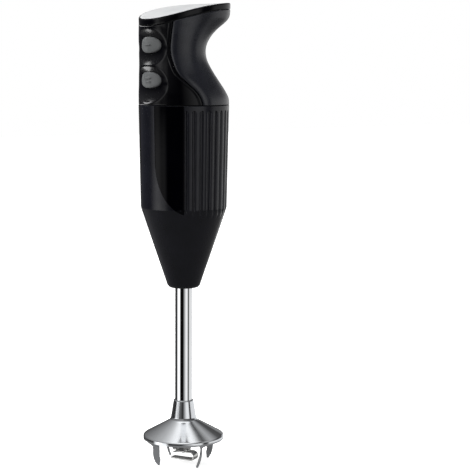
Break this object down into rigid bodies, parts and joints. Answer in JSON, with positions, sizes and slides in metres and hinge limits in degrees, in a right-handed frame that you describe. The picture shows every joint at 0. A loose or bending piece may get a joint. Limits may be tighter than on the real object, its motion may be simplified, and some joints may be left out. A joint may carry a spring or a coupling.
{
  "type": "immersion blender",
  "caption": "Slim black hand blender with a motor handle, two push buttons, a chromed shaft tube with a footed bell guard and a push-on cutting blade.",
  "frame": {"origin": "on the shaft's axis, in the plane of the tips of the guard's four feet", "axes": "+Z along the shaft up to the handle, -Y is the front with the two push buttons, +X is the right-hand side seen from behind the buttons"},
  "size_m": [0.066, 0.0663, 0.3406],
  "materials": {
    "gloss_black": "high gloss moulded plastic",
    "soft_grip": "fine satin texture",
    "plate": "satin lacquered label stock",
    "seal_rubber": "matte",
    "button_rubber": "soft matte",
    "chrome_steel": "mirror polished",
    "blade_steel": "ground and tumbled",
    "screw_steel": "zinc plated",
    "inner_plastic": "as moulded",
    "white_nylon": "as moulded",
    "board": "solder resist",
    "black_component": "moulded",
    "film_capacitor": "dipped",
    "lamination": "varnished laminations",
    "copper_wire": "enamelled wire",
    "brass": "turned",
    "carbon": "sintered carbon",
    "red_rubber": "matte",
    "lead_wire": "insulated wire"
  },
  "bodies": {
    "body": {"lower_housing": "gloss_black", "front_shell": "gloss_black", "rear_grip": "soft_grip", "top_cap": "gloss_black", "rating_plate": "plate", "cap_gasket": "seal_rubber", "housing_gasket": "seal_rubber", "cap_screws": "screw_steel", "cord_inlet_bush": "seal_rubber", "cord_clamp": "inner_plastic", "clamp_screws": "screw_steel", "terminal_block": "white_nylon", "button_carrier": "inner_plastic", "carrier_screws": "screw_steel", "switch_low": "black_component", "switch_high": "black_component", "circuit_board": "board", "rectifier": "black_component", "capacitor": "film_capacitor", "stator_core": "lamination", "field_coils": "copper_wire", "upper_bracket": "inner_plastic", "lower_bracket": "inner_plastic", "upper_bearing": "brass", "lower_bearing": "brass", "brush_holders": "brass", "carbon_brushes": "carbon", "brush_springs": "screw_steel", "motor_screws": "screw_steel", "motor_damper": "seal_rubber", "motor_leads": "lead_wire", "shaft_tube": "chrome_steel", "upper_bush": "brass", "middle_bush": "brass", "lower_bush": "brass", "lip_seal": "seal_rubber", "retaining_ring": "screw_steel", "guard": "chrome_steel"},
    "low_button": {"button_low": "button_rubber", "plunger_low": "inner_plastic"},
    "high_button": {"button_high": "button_rubber", "plunger_high": "inner_plastic"},
    "drive": {"motor_shaft": "blade_steel", "armature_core": "lamination", "armature_windings": "copper_wire", "commutator": "brass", "coupling_top": "white_nylon", "coupling_rubber": "red_rubber", "coupling_bottom": "white_nylon", "drive_shaft": "blade_steel", "cross_pin": "blade_steel"},
    "blade": {"hub_sleeve": "blade_steel", "hub_liner": "white_nylon", "cutter_arms": "blade_steel", "cutter_loop": "blade_steel", "cutter_rivet": "blade_steel"}
  },
  "joints": [
    {"name": "low_button_press", "type": "slide", "parent": "body", "child": "low_button", "axis": [0, 1, 0], "range_m": [0, 0.002], "stiffness_N_per_m": 800},
    {"name": "high_button_press", "type": "slide", "parent": "body", "child": "high_button", "axis": [0, 1, 0], "range_m": [0, 0.002], "stiffness_N_per_m": 800},
    {"name": "drive_spin", "type": "hinge", "parent": "body", "child": "drive", "pos_m": [0, 0, 0.1], "axis": [0, 0, 1], "continuous": true},
    {"name": "blade_pull_off", "type": "slide", "parent": "drive", "child": "blade", "axis": [0, 0, -1], "range_m": [0, 0.018]}
  ]
}
